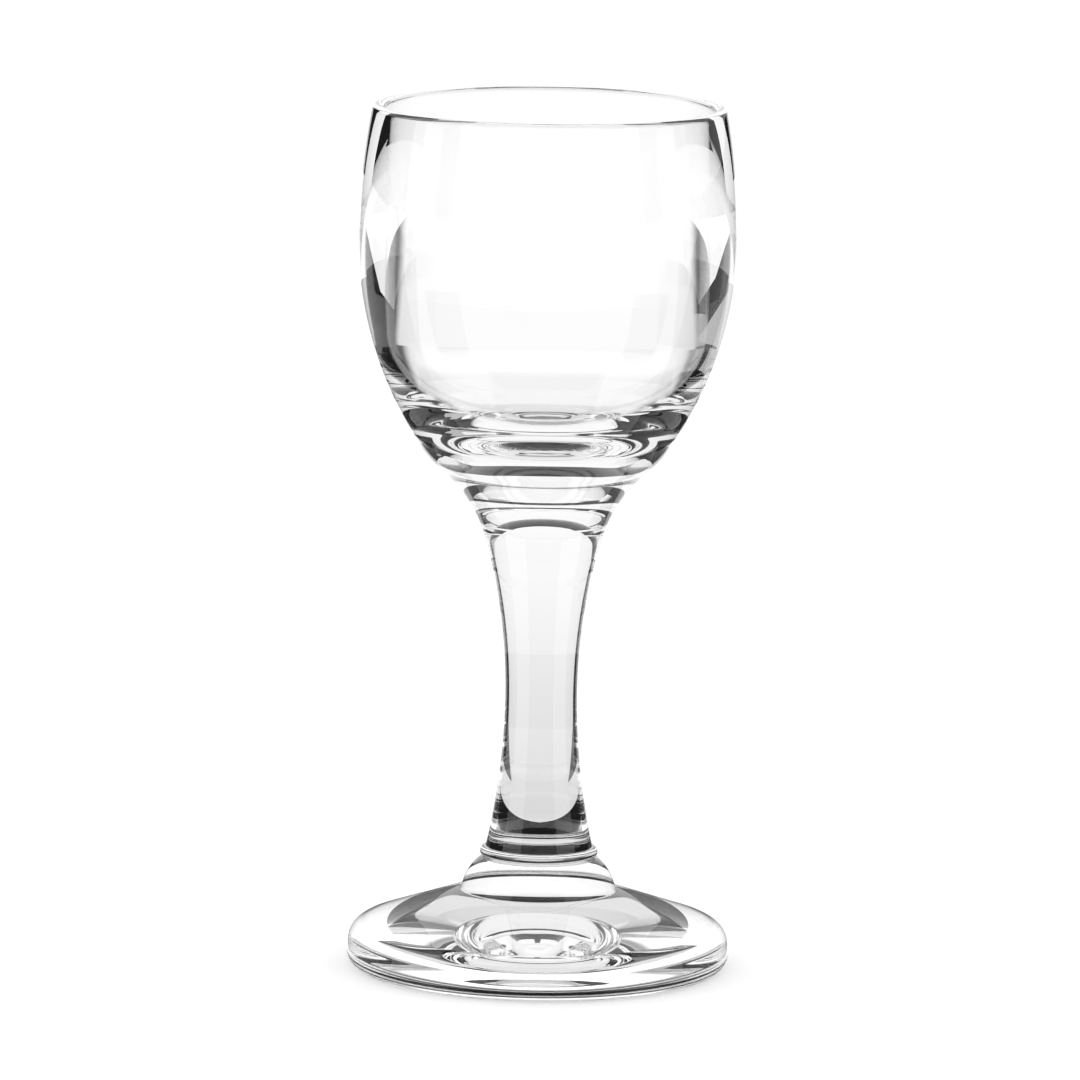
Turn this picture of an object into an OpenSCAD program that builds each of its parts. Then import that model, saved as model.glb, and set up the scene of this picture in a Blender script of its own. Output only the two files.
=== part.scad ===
// Small stemmed sherry glass: bowl, drawn stem, pressed collar and foot, fused in one column.
// Millimetres, +Z up, origin at the centre of the foot, on the table.

/* [Bowl] */
// Height of the whole glass
glass_h = 104; // [98:0.5:112]
// Diameter over the lip
rim_d = 42.2; // [40:0.2:44]
// Thickness of the rounded lip
lip_t = 1.5; // [1:0.1:2.2]
// Widest diameter of the bowl
bowl_d = 45; // [44:0.2:50]
// How far the widest place lies below the lip
belly_z = 16; // [10:0.5:22]
// Thickness of the wall at the widest place
wall_t = 3.15; // [2:0.05:4]
// Radius of the turn under the belly
turn_r = 12; // [8:0.5:16]
// Depth of the hollow, from the lip to its floor
hollow_depth = 39.8; // [34:0.2:42]
// Diameter of the flat floor of the hollow
hollow_floor_d = 8.8; // [4:0.2:14]
// How much the wall of the hollow closes in from the widest place towards its floor, on each side
hollow_draft = 0.4; // [0.3:0.05:1.2]

/* [Neck] */
// Diameter where the bowl's curve turns into the neck
neck_d = 24.8; // [23:0.2:28]
// How far that place lies below the floor of the hollow
neck_z = 3.8; // [1.2:0.2:7.2]
// Angle of the outline there, from upright
neck_angle = 50; // [44:1:55]
// Radius of the hollow curve of the neck
neck_r = 17; // [12:0.5:20]
// How far the seam between bowl and stem lies below the lip
bowl_seam_z = 50; // [47:0.2:54]

/* [Stem] */
// Diameter of the stem at its waist
stem_d = 8.6; // [7:0.1:9.6]
// How far the waist lies below the place where the neck turns into the bowl
waist_z = 27; // [22.4:0.2:32.4]
// Diameter of the stem's lower end
stem_base_d = 12.8; // [11:0.1:13.6]

/* [Collar] */
// Height of the seam between stem and collar
collar_z = 14.7; // [13:0.1:17]
// Diameter of the bead at the top of the collar
bead_d = 14.1; // [13.8:0.1:15]
// Height of that bead
bead_h = 1.4; // [0.8:0.1:2]
// Diameter of the skirt just under the bead
skirt_top_d = 13.9; // [12.6:0.1:14]
// Diameter of the skirt where it meets the foot
skirt_d = 18.5; // [17:0.1:20]
// Radius of the skirt's bulging side
skirt_r = 6; // [4:0.2:12]

/* [Foot] */
// Diameter of the foot before its lower edge is rounded
foot_d = 46.4; // [42:0.2:52]
// Height of the seat for the collar
seat_z = 9.5; // [8:0.1:11]
// Height of the foot's side before its upper edge is rounded
side_h = 4.95; // [4:0.05:6]
// How far the side leans in towards the top
side_lean = 0.65; // [0.2:0.05:1.2]
// Radius of the lower edge
toe_r = 2; // [1:0.1:2.2]
// Radius of the upper edge
edge_r = 2.6; // [1.5:0.1:3.4]
// Inner diameter of the ring that the foot stands on
rest_ring_d = 33; // [26:0.5:38]
// Depth of the hollow underneath
underside_h = 1.2; // [0.6:0.1:2]

/* [Hidden] */
$fn = 240;
clear_glass = [0.9, 0.93, 0.93, 0.5];
// Largest gap between a curve of an outline and its straight steps
curve_gap = 0.004;

function unit(v) = v / norm(v);

// Direction from a centre to a point, in degrees
function heading(centre, p) = atan2(p.y - centre.y, p.x - centre.x);

// The same turn, taken the short way round
function short_way(turn) = turn - 360 * round(turn / 360);

// Points of an arc from a to b, without b itself
function arc(centre, a, b) =
    let (
        r = norm(a - centre),
        from = heading(centre, a),
        turn = short_way(heading(centre, b) - from),
        steps = ceil(abs(turn) / (2 * acos(1 - curve_gap / r)))
    )
    [for (i = [0 : steps - 1]) centre + r * [cos(from + turn * i / steps), sin(from + turn * i / steps)]];

// Points of a parabola from p to the place where it is upright, without that place
function bow(p, upright) =
    let (
        way = p - upright,
        steps = ceil(1 + sqrt(abs(way.x) / curve_gap) / 2)
    )
    [for (i = [steps : -1 : 1]) let (t = i / steps) upright + [way.x * t * t, way.y * t]];

// Radius of the circle that touches an upright line and also a smaller circle,
// whose centre lies dx from that line and dz from the height where the line is touched
function touching_r(dx, dz, small_r) = (dx * dx + dz * dz - small_r * small_r) / (2 * (dx - small_r));

// Half of the angle between the sides from a corner to p and to q
function half_angle(p, corner, q) = acos(unit(p - corner) * unit(q - corner)) / 2;

// Arc of radius r that rounds the corner between the sides from p and to q, with its last point
function rounded(p, corner, q, r) =
    let (
        half = half_angle(p, corner, q),
        centre = corner + unit(unit(p - corner) + unit(q - corner)) * r / sin(half),
        start = corner + unit(p - corner) * r / tan(half),
        end = corner + unit(q - corner) * r / tan(half)
    )
    concat(arc(centre, start, end), [end]);

// Centre of an arc of radius r from a to b that bends to the left of that way
function arc_centre(a, b, r) =
    let (along = unit(b - a), half = norm(b - a) / 2)
    (a + b) / 2 + [-along.y, along.x] * sqrt(r * r - half * half);

// Lip: a full round
lip_r = lip_t / 2;
lip_c = [rim_d / 2 - lip_r, glass_h - lip_r];
mouth = lip_c - [lip_r, 0];
lip_top = lip_c + [0, lip_r];

// Shoulder: from the widest place, where it is upright, to the lip
bowl_r = bowl_d / 2;
belly = [bowl_r, glass_h - belly_z];
shoulder_r = touching_r(bowl_r - lip_c.x, lip_c.y - belly.y, lip_r);
shoulder_c = belly - [shoulder_r, 0];
shoulder_end = lip_c + unit(lip_c - shoulder_c) * lip_r * sign(shoulder_r);

// Belly and turn: from the widest place down to the neck, where the outline starts to bend the other way
floor_edge = [hollow_floor_d / 2, glass_h - hollow_depth];
neck = [neck_d / 2, floor_edge.y - neck_z];
neck_normal = [-cos(neck_angle), sin(neck_angle)];
turn_c = neck + neck_normal * turn_r;
belly_r = touching_r(bowl_r - turn_c.x, belly.y - turn_c.y, turn_r);
belly_c = belly - [belly_r, 0];
turn_end = turn_c + unit(turn_c - belly_c) * turn_r;

// Neck and stem: hollow curves down to the waist, where the outline is upright again, and out to the collar
stem_r = stem_d / 2;
waist = [stem_r, neck.y - waist_z];
neck_c = neck - neck_normal * neck_r;
flare_r = touching_r(neck_c.x - stem_r, neck_c.y - waist.y, neck_r);
flare_c = waist + [flare_r, 0];
flare_end = neck_c + unit(neck_c - flare_c) * neck_r;
stem_base = [stem_base_d / 2, collar_z];

// Hollow of the bowl: upright at the widest place, closing in to a round corner and a flat floor
hollow_side = belly - [wall_t, 0];
corner_r = hollow_side.x - hollow_draft - floor_edge.x;
corner_c = floor_edge + [0, corner_r];
wall_r = touching_r(hollow_side.x - corner_c.x, hollow_side.y - corner_c.y, corner_r);
wall_c = hollow_side - [wall_r, 0];
corner_end = corner_c + unit(corner_c - wall_c) * corner_r;

// Collar: a flared skirt, with a bead on top
skirt_low = [skirt_d / 2, seat_z];
skirt_top = [skirt_top_d / 2, collar_z - bead_h];
skirt_c = arc_centre(skirt_low, skirt_top, skirt_r);
bead_r = bead_h / 2;
bead_c = [bead_d / 2 - bead_r, collar_z - bead_r];

// Foot: a leaning side between two rounded edges, and a hollow underneath
toe = [foot_d / 2, 0];
edge = [foot_d / 2 - side_lean, side_h];
rest_ring = [rest_ring_d / 2, 0];
underside_top = [0, underside_h];
underside_c = underside_top - [0, touching_r(underside_h, rest_ring.x, 0)];

// Height of the seam between bowl and stem above the table
bowl_low = glass_h - bowl_seam_z;

// Half outline of bowl and stem in one sweep: up the outside, over the lip and down into the hollow
drawn_outline = concat(
    [[0, collar_z]],
    bow(stem_base, waist),
    arc(flare_c, waist, flare_end),
    arc(neck_c, flare_end, neck),
    arc(turn_c, neck, turn_end),
    arc(belly_c, turn_end, belly),
    arc(shoulder_c, belly, shoulder_end),
    arc(lip_c, shoulder_end, lip_top),
    arc(lip_c, lip_top, mouth),
    bow(mouth, hollow_side),
    arc(wall_c, hollow_side, corner_end),
    arc(corner_c, corner_end, floor_edge),
    [floor_edge, [0, floor_edge.y]]
);

// Half outline of the collar
collar_outline = concat(
    [[0, seat_z]],
    arc(skirt_c, skirt_low, skirt_top),
    [skirt_top],
    arc(bead_c, bead_c - [0, bead_r], bead_c + [bead_r, 0]),
    arc(bead_c, bead_c + [bead_r, 0], bead_c + [0, bead_r]),
    [bead_c + [0, bead_r], [0, collar_z]]
);

// Half outline of the foot
foot_outline = concat(
    arc(underside_c, underside_top, rest_ring),
    [rest_ring],
    rounded(rest_ring, toe, edge, toe_r),
    rounded(toe, edge, skirt_low, edge_r),
    [skirt_low, [0, seat_z]]
);

module bowl() {
    color(clear_glass)
        rotate_extrude()
            difference() {
                polygon(drawn_outline);
                square([bowl_r, bowl_low]);
            }
}

module stem() {
    color(clear_glass)
        rotate_extrude()
            intersection() {
                polygon(drawn_outline);
                square([bowl_r, bowl_low]);
            }
}

module collar() {
    color(clear_glass)
        rotate_extrude()
            polygon(collar_outline);
}

module foot() {
    color(clear_glass)
        rotate_extrude()
            polygon(foot_outline);
}

bowl();
stem();
collar();
foot();
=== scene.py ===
import math

import bpy
import numpy as np
from mathutils import Matrix, Vector


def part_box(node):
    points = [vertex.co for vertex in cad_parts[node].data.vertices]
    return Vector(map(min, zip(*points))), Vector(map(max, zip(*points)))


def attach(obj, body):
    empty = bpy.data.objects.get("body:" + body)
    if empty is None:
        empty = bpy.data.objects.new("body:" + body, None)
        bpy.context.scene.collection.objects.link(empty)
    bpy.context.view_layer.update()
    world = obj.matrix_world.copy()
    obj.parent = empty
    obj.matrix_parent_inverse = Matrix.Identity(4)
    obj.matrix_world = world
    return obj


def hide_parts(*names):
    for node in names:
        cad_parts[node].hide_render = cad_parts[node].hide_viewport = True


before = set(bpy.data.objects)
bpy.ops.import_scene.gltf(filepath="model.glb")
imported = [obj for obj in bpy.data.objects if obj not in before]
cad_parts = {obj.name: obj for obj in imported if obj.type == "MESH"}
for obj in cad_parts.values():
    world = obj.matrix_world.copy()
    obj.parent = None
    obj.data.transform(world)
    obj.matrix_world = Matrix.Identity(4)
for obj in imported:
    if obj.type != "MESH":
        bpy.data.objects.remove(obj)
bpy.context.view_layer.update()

mm = 0.001  # sizes below are in millimetres, meshes in metres
turns = 160  # steps round the axis
fewest = 3  # points that any curve gets
white = (1, 1, 1, 1)
print("frame loaded:", sorted(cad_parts))


def addObject(name, data):
    made = bpy.data.objects.new(name, data)
    bpy.context.scene.collection.objects.link(made)
    return made


# Curves of the outlines, in millimetres, as arrays of (radius, height)

def unitOf(v):
    return v / np.linalg.norm(v)


# radius of the circle that touches an upright line and a smaller circle dx and dz away
def touchingRadius(dx, dz, small):
    return (dx * dx + dz * dz - small * small) / (2 * (dx - small))


# arc: centre + radius * (cos, sin) of an angle that runs evenly from a to b, without b
def arcPoints(centre, a, b, step):
    centre, a, b = (np.asarray(p, float) for p in (centre, a, b))
    radius = np.linalg.norm(a - centre)
    start = math.atan2(*(a - centre)[::-1])
    turn = math.remainder(math.atan2(*(b - centre)[::-1]) - start, 2 * math.pi)
    count = max(fewest, math.ceil(abs(turn) * radius / step))
    angle = start + turn * np.arange(count) / count
    return centre + radius * np.stack([np.cos(angle), np.sin(angle)], axis=1)


# bow: a parabola from p to the place where it is upright, without that place
def bowPoints(p, upright, step):
    p, upright = np.asarray(p, float), np.asarray(upright, float)
    count = max(fewest, math.ceil(np.linalg.norm(p - upright) / step))
    t = np.arange(count, 0, -1) / count
    way = p - upright
    return upright + np.stack([way[0] * t * t, way[1] * t], axis=1)


# straight line from a to b in even steps, without b
def linePoints(a, b, step):
    a, b = np.asarray(a, float), np.asarray(b, float)
    count = max(1, math.ceil(np.linalg.norm(b - a) / step))
    return a + (b - a) * (np.arange(count) / count)[:, None]


# arc that rounds the corner between the sides from p and to q, with its last point
def roundedCorner(p, corner, q, radius, step):
    p, corner, q = (np.asarray(v, float) for v in (p, corner, q))
    sideP, sideQ = unitOf(p - corner), unitOf(q - corner)
    half = math.acos(sideP @ sideQ) / 2
    centre = corner + unitOf(sideP + sideQ) * radius / math.sin(half)
    start = corner + sideP * radius / math.tan(half)
    end = corner + sideQ * radius / math.tan(half)
    return np.vstack([arcPoints(centre, start, end, step), end])


# Surface of revolution: outline point (r, z) at angle a goes to (r cos a, r sin a, z).
# rows are runs of outline points, the first and the last point of all lie on the axis
def revolve(name, rows, seams):
    outline = np.vstack(rows) * mm
    rings = outline[1:-1]
    angle = np.arange(turns) * 2 * math.pi / turns
    x = rings[:, :1] * np.cos(angle)
    y = rings[:, :1] * np.sin(angle)
    z = np.repeat(rings[:, 1:], turns, axis=1)
    grid = np.stack([x, y, z], axis=2).reshape(-1, 3)
    low, high = [[0, 0, outline[0, 1]]], [[0, 0, outline[-1, 1]]]
    points = np.vstack([low, grid, high])
    ring = np.arange(len(rings))[:, None] * turns + 1
    here, there = np.arange(turns), np.roll(np.arange(turns), -1)
    a, b = ring[:-1] + here, ring[:-1] + there
    quads = np.stack([a, b, b + turns, a + turns], axis=2).reshape(-1, 4)
    top = len(points) - 1
    lowFan = np.stack([np.zeros(turns, int), 1 + there, 1 + here], axis=1)
    highFan = np.stack([ring[-1] + here, ring[-1] + there, np.full(turns, top)], axis=1)
    mesh = bpy.data.meshes.new(name)
    mesh.from_pydata(points.tolist(), [], lowFan.tolist() + quads.tolist() + highFan.tolist())
    mesh.update()
    # creases between the runs, found by the ring of both ends of an edge
    starts = np.cumsum([len(r) for r in rows])[:-1] - 1
    ends = np.empty(len(mesh.edges) * 2, int)
    mesh.edges.foreach_get("vertices", ends)
    level = (ends.reshape(-1, 2) - 1) // turns
    level[ends.reshape(-1, 2) == 0] = -1
    sharp = (level[:, 0] == level[:, 1]) & np.isin(level[:, 0], starts)
    mesh.attributes.new("sharp_edge", "BOOLEAN", "EDGE").data.foreach_set("value", sharp)
    mesh.polygons.foreach_set("use_smooth", np.ones(len(mesh.polygons), bool))
    # the flat ends that meet a neighbour take the second material
    slots = np.zeros(len(mesh.polygons), int)
    if "low" in seams:
        slots[:turns] = 1
    if "high" in seams:
        slots[-turns:] = 1
    mesh.polygons.foreach_set("material_index", slots)
    return addObject(name, mesh)


# Materials

# one socket of a node tree, usable in sums
class Wire:
    def __init__(self, tree, socket=None):
        self.tree, self.socket = tree, socket

    # any node: its type, its settings, its sockets' values or wires, and which output comes back
    def node(self, kind, settings=None, sockets=None, out=0):
        made = self.tree.nodes.new(kind)
        for name, value in (settings or {}).items():
            setattr(made, name, value)
        for name, value in (sockets or {}).items():
            if isinstance(value, Wire):
                self.tree.links.new(value.socket, made.inputs[name])
            else:
                made.inputs[name].default_value = value
        return Wire(self.tree, made.outputs[out])

    def math(self, operation, first, second):
        return self.node("ShaderNodeMath", {"operation": operation}, {0: first, 1: second})

    # smooth step: goes from low to high while this wire goes from start to end
    def smooth(self, start, end, low=0.0, high=1.0):
        return self.node("ShaderNodeMapRange", {"interpolation_type": "SMOOTHSTEP"}, {
            "Value": self, "From Min": start, "From Max": end, "To Min": low, "To Max": high})

    def glow(self, strength):
        return self.node("ShaderNodeEmission", sockets={"Color": white, "Strength": strength})

    def clear(self):
        return self.node("ShaderNodeBsdfTransparent", sockets={"Color": white})

    def __add__(self, other):
        return self.math("ADD", self, other)

    def __radd__(self, other):
        return self.math("ADD", other, self)

    def __sub__(self, other):
        return self.math("SUBTRACT", self, other)

    def __rsub__(self, other):
        return self.math("SUBTRACT", other, self)

    def __mul__(self, other):
        return self.math("MULTIPLY", self, other)

    def __rmul__(self, other):
        return self.math("MULTIPLY", other, self)


def emptyMaterial(name):
    made = bpy.data.materials.new(name)
    made.use_nodes = True
    made.node_tree.nodes.clear()
    return made, Wire(made.node_tree)


def finishMaterial(w, shader, kind="ShaderNodeOutputMaterial"):
    made = w.tree.nodes.new(kind)
    w.tree.links.new(shader.socket, made.inputs["Surface"])


# clear pressed glass: long soft waves of the mould in the normal, faint haze in the roughness
def clearGlass(name, look):
    made, w = emptyMaterial(name)
    place = w.node("ShaderNodeTexCoord", out="Object")
    drawn = w.node("ShaderNodeMapping", sockets={"Vector": place, "Scale": look["stretch"]})
    wave = w.node("ShaderNodeTexNoise", sockets={
        "Vector": drawn, "Scale": look["waveScale"], "Detail": look["waveDetail"]})
    haze = w.node("ShaderNodeTexNoise", sockets={
        "Vector": place, "Scale": look["hazeScale"], "Detail": look["hazeDetail"]})
    bump = w.node("ShaderNodeBump", sockets={
        "Height": wave, "Strength": look["waveStrength"], "Distance": look["waveDepth"]})
    # sockets 6 and 7 are the two colours, and output 2 is the mixed one
    tint = w.node("ShaderNodeMix", {"data_type": "RGBA"}, {
        0: haze, 6: look["tintLight"], 7: look["tintDeep"]}, out=2)
    glass = w.node("ShaderNodeBsdfPrincipled", sockets={
        "Base Color": tint, "Roughness": haze * look["hazeRough"], "IOR": look["ior"],
        "Transmission Weight": 1.0, "Normal": bump})
    # light of the lamp goes straight through, and so does light that has turned too often inside
    lamp = w.node("ShaderNodeLightPath", out="Is Shadow Ray")
    worn = w.math("GREATER_THAN", w.node("ShaderNodeLightPath", out="Ray Depth"), look["turnsKept"])
    free = w.math("MAXIMUM", lamp, worn)
    finishMaterial(w, w.node("ShaderNodeMixShader", sockets={0: free, 1: glass, 2: w.clear()}))
    return made


# fused seam: nothing is seen where two pieces run together
def fusedSeam():
    made, w = emptyMaterial("fusedSeam")
    finishMaterial(w, w.clear())
    return made


seamMaterial = fusedSeam()
glassLook = {
    "ior": 1.52, "turnsKept": 15.0,
    "stretch": (1.0, 1.0, 0.35),
    "waveScale": 160.0, "waveDetail": 1.0, "waveStrength": 0.25, "waveDepth": 0.00002,
    "hazeScale": 90.0, "hazeDetail": 3.0, "hazeRough": 0.004,
    "tintLight": (0.995, 0.997, 0.995, 1), "tintDeep": (0.982, 0.986, 0.983, 1),
}


def dress(piece, node, look):
    piece.data.materials.append(clearGlass(node + "Glass", look))
    piece.data.materials.append(seamMaterial)
    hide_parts(node)
    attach(piece, "root")
    print("piece:", piece.name, len(piece.data.polygons), "faces")


# Heights that the pieces share, from the frame
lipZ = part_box("bowl")[1].z / mm
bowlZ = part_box("bowl")[0].z / mm
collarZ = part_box("stem")[0].z / mm
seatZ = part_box("collar")[0].z / mm

bowl = {
    "rimD": 42.2, "lipT": 1.5,
    "bowlD": 2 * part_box("bowl")[1].x / mm, "bellyDrop": 16,
    "neckD": 24.8, "neckZ": 60.4, "neckAngle": 50, "neckR": 17, "turnR": 12,
    "wallT": 3.15, "hollowDepth": 39.8, "floorD": 8.8, "draft": 0.4,
    "stemD": 8.6, "waistZ": 33.4,
    "step": 0.3, "fine": 0.08,
}


# the bowl's outside and the stem's are one sweep, so both pieces share these places
def drawnPlaces(s):
    at = {}
    lipR = s["lipT"] / 2
    at["lipC"] = np.array([s["rimD"] / 2 - lipR, lipZ - lipR])
    at["mouth"], at["lipTop"] = at["lipC"] - [lipR, 0], at["lipC"] + [0, lipR]
    at["belly"] = np.array([s["bowlD"] / 2, lipZ - s["bellyDrop"]])
    shoulderR = touchingRadius(at["belly"][0] - at["lipC"][0], at["lipC"][1] - at["belly"][1], lipR)
    at["shoulderC"] = at["belly"] - [shoulderR, 0]
    at["shoulderEnd"] = at["lipC"] + unitOf(at["lipC"] - at["shoulderC"]) * lipR
    at["neck"] = np.array([s["neckD"] / 2, s["neckZ"]])
    lean = math.radians(s["neckAngle"])
    normal = np.array([-math.cos(lean), math.sin(lean)])
    at["turnC"] = at["neck"] + normal * s["turnR"]
    bellyR = touchingRadius(at["belly"][0] - at["turnC"][0], at["belly"][1] - at["turnC"][1], s["turnR"])
    at["bellyC"] = at["belly"] - [bellyR, 0]
    at["turnEnd"] = at["turnC"] + unitOf(at["turnC"] - at["bellyC"]) * s["turnR"]
    at["waist"] = np.array([s["stemD"] / 2, s["waistZ"]])
    at["neckC"] = at["neck"] - normal * s["neckR"]
    flareR = touchingRadius(at["neckC"][0] - at["waist"][0], at["neckC"][1] - at["waist"][1], s["neckR"])
    at["flareC"] = at["waist"] + [flareR, 0]
    at["flareEnd"] = at["neckC"] + unitOf(at["neckC"] - at["flareC"]) * s["neckR"]
    across = math.sqrt(s["neckR"] ** 2 - (bowlZ - at["neckC"][1]) ** 2)
    at["seam"] = np.array([at["neckC"][0] - across, bowlZ])
    at["floorMiddle"] = np.array([0, lipZ - s["hollowDepth"]])
    at["floorEdge"] = at["floorMiddle"] + [s["floorD"] / 2, 0]
    at["side"] = at["belly"] - [s["wallT"], 0]
    cornerR = at["side"][0] - s["draft"] - at["floorEdge"][0]
    at["cornerC"] = at["floorEdge"] + [0, cornerR]
    wallR = touchingRadius(at["side"][0] - at["cornerC"][0], at["side"][1] - at["cornerC"][1], cornerR)
    at["wallC"] = at["side"] - [wallR, 0]
    at["cornerEnd"] = at["cornerC"] + unitOf(at["cornerC"] - at["wallC"]) * cornerR
    return at


def makeBowl(s):
    at = drawnPlaces(s)
    step, fine = s["step"], s["fine"]
    outside = np.vstack([
        arcPoints(at["neckC"], at["seam"], at["neck"], step),
        arcPoints(at["turnC"], at["neck"], at["turnEnd"], step),
        arcPoints(at["bellyC"], at["turnEnd"], at["belly"], step),
        arcPoints(at["shoulderC"], at["belly"], at["shoulderEnd"], step),
        arcPoints(at["lipC"], at["shoulderEnd"], at["lipTop"], fine),
        arcPoints(at["lipC"], at["lipTop"], at["mouth"], fine),
        bowPoints(at["mouth"], at["side"], step),
        arcPoints(at["wallC"], at["side"], at["cornerEnd"], step),
        arcPoints(at["cornerC"], at["cornerEnd"], at["floorEdge"], step),
        linePoints(at["floorEdge"], at["floorMiddle"], step)])
    return revolve("bowl_glass", [[[0, bowlZ]], outside, [at["floorMiddle"]]], ["low"])


stem = {"baseD": 12.8, "step": 0.3}


def makeStem(s):
    at = drawnPlaces(bowl)
    base = np.array([s["baseD"] / 2, collarZ])
    side = np.vstack([
        bowPoints(base, at["waist"], s["step"]),
        arcPoints(at["flareC"], at["waist"], at["flareEnd"], s["step"]),
        arcPoints(at["neckC"], at["flareEnd"], at["seam"], s["step"]),
        at["seam"]])
    return revolve("stem_glass", [[[0, collarZ]], side, [[0, bowlZ]]], ["low", "high"])


collar = {
    "beadD": 14.1, "beadH": 1.4, "skirtTopD": 13.9, "skirtD": 18.5, "skirtR": 6,
    "step": 0.12, "fine": 0.06,
}


def makeCollar(s):
    beadR = s["beadH"] / 2
    beadC = np.array([s["beadD"] / 2 - beadR, collarZ - beadR])
    skirtLow = np.array([s["skirtD"] / 2, seatZ])
    skirtTop = np.array([s["skirtTopD"] / 2, collarZ - s["beadH"]])
    along, half = unitOf(skirtTop - skirtLow), np.linalg.norm(skirtTop - skirtLow) / 2
    inward = np.array([-along[1], along[0]])
    skirtC = (skirtLow + skirtTop) / 2 + inward * math.sqrt(s["skirtR"] ** 2 - half ** 2)
    skirt = arcPoints(skirtC, skirtLow, skirtTop, s["step"])
    ledge = linePoints(skirtTop, beadC - [0, beadR], s["step"])
    bead = np.vstack([
        arcPoints(beadC, beadC - [0, beadR], beadC + [beadR, 0], s["fine"]),
        arcPoints(beadC, beadC + [beadR, 0], beadC + [0, beadR], s["fine"]),
        beadC + [0, beadR]])
    return revolve("collar_glass", [[[0, seatZ]], skirt, ledge, bead, [[0, collarZ]]], ["low", "high"])


foot = {
    "footD": 46.4, "sideH": 4.95, "sideLean": 0.65, "toeR": 2, "edgeR": 2.6,
    "restRingD": 33, "undersideH": 1.2, "step": 0.25, "fine": 0.08,
}


def makeFoot(s):
    skirtLow = np.array([collar["skirtD"] / 2, seatZ])
    toe = np.array([s["footD"] / 2, 0])
    edge = np.array([s["footD"] / 2 - s["sideLean"], s["sideH"]])
    ring, middle = np.array([s["restRingD"] / 2, 0]), np.array([0, s["undersideH"]])
    hollowC = middle - [0, touchingRadius(s["undersideH"], ring[0], 0)]
    toeArc = roundedCorner(ring, toe, edge, s["toeR"], s["fine"])
    edgeArc = roundedCorner(toe, edge, skirtLow, s["edgeR"], s["fine"])
    under = arcPoints(hollowC, middle, ring, s["step"])
    outside = np.vstack([
        linePoints(ring, toeArc[0], s["step"]), toeArc[:-1],
        linePoints(toeArc[-1], edgeArc[0], s["step"]), edgeArc[:-1],
        linePoints(edgeArc[-1], skirtLow, s["step"]), skirtLow])
    return revolve("foot_glass", [under[:1], under[1:], outside, [[0, seatZ]]], ["high"])


# light guided round the bowl's rim is let go sooner
bowlLook = dict(glassLook, turnsKept=10.0)
dress(makeBowl(bowl), "bowl", bowlLook)
dress(makeStem(stem), "stem", glassLook)
dress(makeCollar(collar), "collar", glassLook)
dress(makeFoot(foot), "foot", glassLook)


# Camera: at the photograph's angle, looking down on the glass a little and rolled slightly
camera = {
    "distance": 1083.6, "height": 222.8, "aimZ": 51.78, "aimX": -0.415,
    "lens": 306.2, "sensor": 36.0, "roll": 0.0150, "clip": (0.05, 50),
}


def makeCamera(s):
    data = bpy.data.cameras.new("camera")
    data.sensor_width, data.lens = s["sensor"], s["lens"]
    data.clip_start, data.clip_end = s["clip"]
    eye = Vector((0, -s["distance"], s["height"])) * mm
    look = (Vector((s["aimX"], 0, s["aimZ"])) * mm - eye).normalized()
    right = look.cross(Vector((0, 0, 1))).normalized()
    up = right.cross(look)
    c, q = math.cos(s["roll"]), math.sin(s["roll"])
    turned = Matrix((right * c + up * q, up * c - right * q, -look)).transposed().to_4x4()
    holder = addObject("camera", data)
    holder.matrix_world = Matrix.Translation(eye) @ turned
    bpy.context.scene.camera = holder


makeCamera(camera)
print("camera placed")


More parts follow.
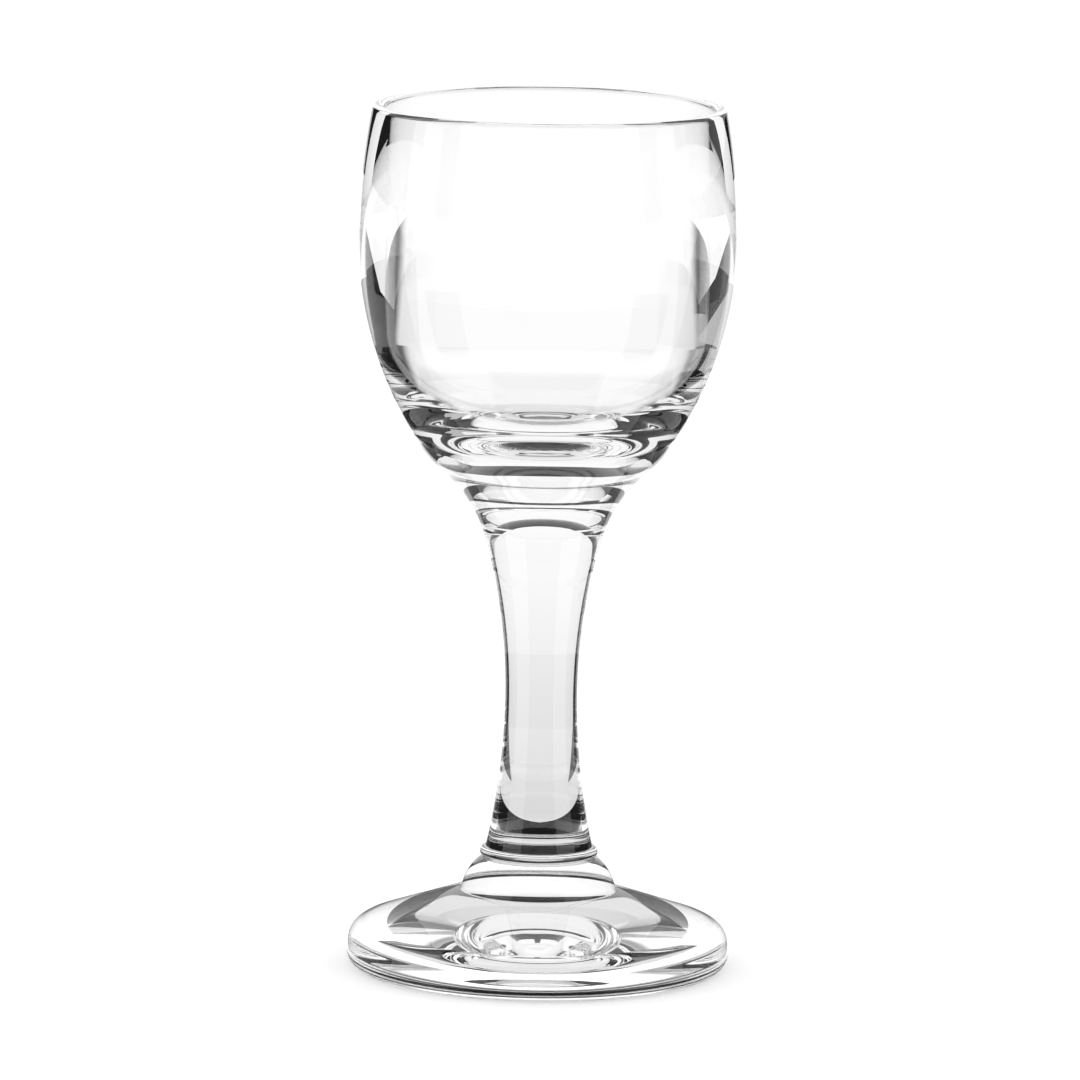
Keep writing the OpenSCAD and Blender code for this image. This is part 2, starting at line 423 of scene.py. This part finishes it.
# Studio: pale floor, white all round and above, and a stand of cards that turns to face the camera.
# Bearings are in degrees from straight behind the glass. The cards' radii and heights are in
# millimetres, and the floor's and the lamp's measures in metres. low and high are a card's
# lower and upper edge at its first and its last bearing
studio = {
    # the floor's last entry sets a painted shadow near the glass, which only the glass sees
    "floorSize": 12.0, "floorColour": 0.9, "floorLift": 0.3, "shadeFadeOver": (0.03, 0.4),
    # painted light: a glow on the floor under the foot and in a ring beside it
    "gathered": {"under": 1.5, "underOver": (0.0195, 0.0215),
                 "beside": 1.2, "besideAt": 0.027, "besideHalf": 0.003},
    "worldLight": 0.8, "lampPower": 1.5, "lampSize": 0.8, "lampHeight": 1.2,
    "screen": {"radius": 29, "half": 47, "low": 6.5, "rise": 16, "high": 66, "drop": 9,
               "levels": (0.72, 1.0), "fullAt": 50, "steps": 41},
    "flagGrey": 0.012, "nearEdge": (25, 31), "farEdge": (16, 21), "patchGrey": 0.5, "lowGrey": 0.16,
    # painted shadow: a dark disc under the foot's hollow
    "shadowSpot": {"radius": 14, "lift": 0.15, "steps": 48}, "cardSteps": 33,
    "flags": [
        {"name": "skirting", "radius": 29.2, "bearings": (-110, 110), "low": (0, 0), "high": (6.5, 6.5)},
        {"name": "frontFlag", "radius": 60, "bearings": (142, 218), "low": (0, 0), "high": (45, 45)},
        {"name": "flankLeft", "radius": 61, "bearings": (-98, -52), "low": (0, 0), "high": (82, 76)},
        {"name": "flankRight", "radius": 61, "bearings": (52, 98), "low": (0, 0), "high": (76, 82)},
        {"name": "backLeft", "radius": 61, "bearings": (-134, -112), "low": (50, 50), "high": (72, 72)},
        {"name": "backRight", "radius": 61, "bearings": (112, 134), "low": (50, 50), "high": (72, 72)},
    ],
    "nearFlags": [
        {"name": "nearLeft", "radius": 60, "bearings": (-53, -24), "low": (30, 30), "high": (75, 75)},
        {"name": "nearRight", "radius": 60, "bearings": (24, 53), "low": (30, 30), "high": (56, 56)},
    ],
    "farFlags": [
        {"name": "farLeft", "radius": 500, "bearings": (-44, -14), "low": (66, 0), "high": (190, 190)},
        {"name": "sideLeft", "radius": 500, "bearings": (-85, -44), "low": (66, 66), "high": (190, 190)},
        {"name": "farRight", "radius": 500, "bearings": (14, 44), "low": (0, 50), "high": (86, 86)},
        {"name": "sideRight", "radius": 500, "bearings": (44, 85), "low": (50, 66), "high": (86, 86)},
    ],
    "nearPatches": [
        {"name": "nearPatch", "radius": 60, "bearings": (24, 53), "low": (56, 56), "high": (75, 75)},
    ],
    "farPatches": [
        {"name": "patchRight", "radius": 501, "bearings": (14, 85), "low": (86, 86), "high": (190, 190)},
    ],
    "lowFlags": [
        {"name": "lowLeft", "radius": 60.5, "bearings": (-53, -13), "low": (0, 0), "high": (30, 30)},
        {"name": "lowRight", "radius": 60.5, "bearings": (13, 53), "low": (0, 0), "high": (30, 30)},
    ],
    "shelves": [
        {"name": "overStem", "z": 75, "radii": (26, 62), "half": 110, "darkFrom": "below"},
        {"name": "lens", "z": 63, "radii": (17, 23), "half": 5, "darkFrom": "below"},
        {"name": "wedges", "z": 9, "radii": (20, 28.8), "half": 40, "darkFrom": "below", "grey": 0.05},
        {"name": "shade", "z": 0.15, "radii": (22.3, 25), "half": 180, "darkFrom": "above"},
    ],
}


# rays that should show the white studio: those of the camera, of gloss and through glass
def seenRay(w):
    path = w.tree.nodes.new("ShaderNodeLightPath")
    kinds = ("Is Camera Ray", "Is Glossy Ray", "Is Transmission Ray")
    direct, gloss, through = (Wire(w.tree, path.outputs[kind]) for kind in kinds)
    return w.math("MAXIMUM", w.math("MAXIMUM", direct, gloss), through)


def makeFloor(s):
    half = s["floorSize"] / 2
    mesh = bpy.data.meshes.new("floor")
    corners = [(-half, -half, 0), (half, -half, 0), (half, half, 0), (-half, half, 0)]
    mesh.from_pydata(corners, [], [(0, 1, 2, 3)])
    floor = addObject("floor", mesh)
    made, w = emptyMaterial("paleFloor")
    pale = (s["floorColour"],) * 3 + (1,)
    matt = w.node("ShaderNodeBsdfDiffuse", sockets={"Color": pale})
    # white to the camera everywhere, while through the glass it carries a painted shadow that darkens it
    # a little towards the foot
    place = w.node("ShaderNodeTexCoord", out="Object")
    away = w.node("ShaderNodeVectorMath", {"operation": "LENGTH"}, {0: place}, out="Value")
    shadeFade = away.smooth(*s["shadeFadeOver"])
    # painted light: a glow painted on the floor under the foot and in a ring close beside it, in place
    # of light that the foot gathers
    g = s["gathered"]
    under = away.smooth(*g["underOver"], g["under"], 0.0)
    off = w.math("ABSOLUTE", away - g["besideAt"], 0.0)
    beside = w.math("MAXIMUM", (1 - off * (1 / g["besideHalf"])) * g["beside"], 0.0)
    gathered = w.math("MAXIMUM", under, beside)
    direct = w.node("ShaderNodeLightPath", out="Is Camera Ray")
    share = w.math("MAXIMUM", direct, seenRay(w) * w.math("MAXIMUM", shadeFade, gathered))
    lift = w.glow(share * s["floorLift"])
    finishMaterial(w, w.node("ShaderNodeAddShader", sockets={0: matt, 1: lift}))
    floor.data.materials.append(made)


# ring: the point at bearing b and radius r is (r sin b, r cos b)
def ringPoints(radius, bearing):
    around = np.radians(bearing)
    return radius * np.stack([np.sin(around), np.cos(around)], axis=1)


# upright card: part of a ring, the point at bearing b and height z is (r sin b, r cos b, z)
def ringCard(name, radius, bearing, low, high, shader, stand):
    count = len(bearing)
    ring = ringPoints(radius, bearing)
    here = np.arange(count - 1)
    faces = np.stack([here, here + 1, here + 1 + count, here + count], axis=1)
    points = np.vstack([np.column_stack([ring, low]), np.column_stack([ring, high])])
    stageCard(name, points, faces, shader, stand)


def flag(card, count, shader, stand):
    bearing, low, high = (np.linspace(*card[k], count) for k in ("bearings", "low", "high"))
    ringCard(card["name"], card["radius"], bearing, low, high, shader, stand)


# white screen behind the stem: both its upper and its lower edge are parabolas
def makeScreen(s, stand):
    across = np.linspace(-1, 1, s["steps"])
    low, high = s["low"] + s["rise"] * across ** 2, s["high"] - s["drop"] * across ** 2
    shader = glowing("whiteScreen", *s["levels"], s["fullAt"])
    ringCard("whiteScreen", s["radius"], s["half"] * across, low, high, shader, stand)


# cards show only in the glass: the camera and the light on the floor pass them by
def stageCard(name, points, faces, shader, stand):
    mesh = bpy.data.meshes.new(name)
    mesh.from_pydata((points * mm).tolist(), [], faces.tolist())
    mesh.materials.append(shader)
    piece = addObject(name, mesh)
    piece.parent = stand
    piece.visible_camera = piece.visible_diffuse = piece.visible_shadow = False


# painted shadow: a dark disc close over the floor, under the foot's hollow, for the shade beneath the
# foot; its edge at (r cos a, r sin a)
def makeShadowSpot(s, shader, stand):
    count = s["steps"]
    angle = np.arange(count) * 2 * math.pi / count
    x, y = s["radius"] * np.cos(angle), s["radius"] * np.sin(angle)
    points = np.stack([x, y, np.full(count, s["lift"])], axis=1)
    stageCard("shadowSpot", points, np.arange(count)[None], shader, stand)


# level card: at height z, the part of a flat ring between two radii, facing up or down
def makeShelf(card, count, shader, stand):
    bearing = np.linspace(-card["half"], card["half"], count)
    flat = np.vstack([ringPoints(r, bearing) for r in card["radii"]])
    points = np.column_stack([flat, np.full(len(flat), card["z"])])
    here = np.arange(count - 1)
    faces = np.stack([here, here + count, here + count + 1, here + 1], axis=1)
    if card["darkFrom"] == "above":
        faces = faces[:, ::-1]
    stageCard(card["name"], points, faces, shader, stand)


# dark on the side that a shelf faces, clear on the other
def oneWay(name, grey):
    made, w = emptyMaterial(name)
    back = w.node("ShaderNodeNewGeometry", out="Backfacing")
    finishMaterial(w, w.node("ShaderNodeMixShader", sockets={0: back, 1: w.glow(grey), 2: w.clear()}))
    return made


# lit card: its level rises evenly from low at the floor to high at the height fullAt
def glowing(name, low, high, fullAt=1):
    made, w = emptyMaterial(name)
    place = w.node("ShaderNodeTexCoord", out="Object")
    height = w.node("ShaderNodeSeparateXYZ", sockets={0: place}, out="Z")
    level = w.math("MINIMUM", height * ((high - low) / (fullAt * mm)) + low, high)
    finishMaterial(w, w.glow(level))
    return made


# dark card that brightens to white towards the bearing straight behind the glass
def softFlag(name, grey, edge):
    made, w = emptyMaterial(name)
    place = w.node("ShaderNodeTexCoord", out="Object")
    x = w.node("ShaderNodeSeparateXYZ", sockets={0: place}, out="X")
    y = w.node("ShaderNodeSeparateXYZ", sockets={0: place}, out="Y")
    bearing = w.math("ABSOLUTE", w.math("ARCTAN2", x, y), 0.0)
    level = bearing.smooth(math.radians(edge[0]), math.radians(edge[1]), 1.0, grey)
    finishMaterial(w, w.glow(level))
    return made


def makeCards(s):
    stand = addObject("cardStand", None)
    facing = stand.constraints.new("LOCKED_TRACK")
    facing.target = bpy.context.scene.camera
    facing.track_axis, facing.lock_axis = "TRACK_NEGATIVE_Y", "LOCK_Z"
    makeScreen(s["screen"], stand)
    dark = glowing("darkFlag", s["flagGrey"], s["flagGrey"])
    # painted shadow under the foot
    makeShadowSpot(s["shadowSpot"], dark, stand)
    shaders = {
        "flags": dark,
        "nearFlags": softFlag("nearFlag", s["flagGrey"], s["nearEdge"]),
        "farFlags": softFlag("farFlag", s["flagGrey"], s["farEdge"]),
        "nearPatches": softFlag("nearPatch", s["patchGrey"], s["nearEdge"]),
        "farPatches": softFlag("farPatch", s["patchGrey"], s["farEdge"]),
        "lowFlags": glowing("lowFlag", s["lowGrey"], s["lowGrey"]),
    }
    for kind, shader in shaders.items():
        for card in s[kind]:
            flag(card, s["cardSteps"], shader, stand)
    for card in s["shelves"]:
        shader = oneWay(card["name"], card.get("grey", s["flagGrey"]))
        makeShelf(card, s["cardSteps"], shader, stand)


def makeWorld(s):
    world = bpy.data.worlds.new("studio")
    world.use_nodes = True
    world.node_tree.nodes.clear()
    w = Wire(world.node_tree)
    level = seenRay(w) * (1 - s["worldLight"]) + s["worldLight"]
    light = w.node("ShaderNodeBackground", sockets={"Color": white, "Strength": level})
    finishMaterial(w, light, "ShaderNodeOutputWorld")
    bpy.context.scene.world = world


def makeLamp(s):
    data = bpy.data.lights.new("softLamp", "AREA")
    data.energy, data.size = s["lampPower"], s["lampSize"]
    lamp = addObject("softLamp", data)
    lamp.location = (0, 0, s["lampHeight"])
    lamp.visible_camera = lamp.visible_glossy = lamp.visible_transmission = False


makeFloor(studio)
makeCards(studio)
makeWorld(studio)
makeLamp(studio)
bpy.context.scene.view_settings.view_transform = "Standard"
# light runs round inside the thick wall many times
bounces = {"through": 32, "gloss": 16}
limits = bpy.context.scene.cycles
limits.max_bounces = limits.transmission_bounces = bounces["through"]
limits.glossy_bounces = limits.transparent_max_bounces = bounces["gloss"]
print("studio lit")
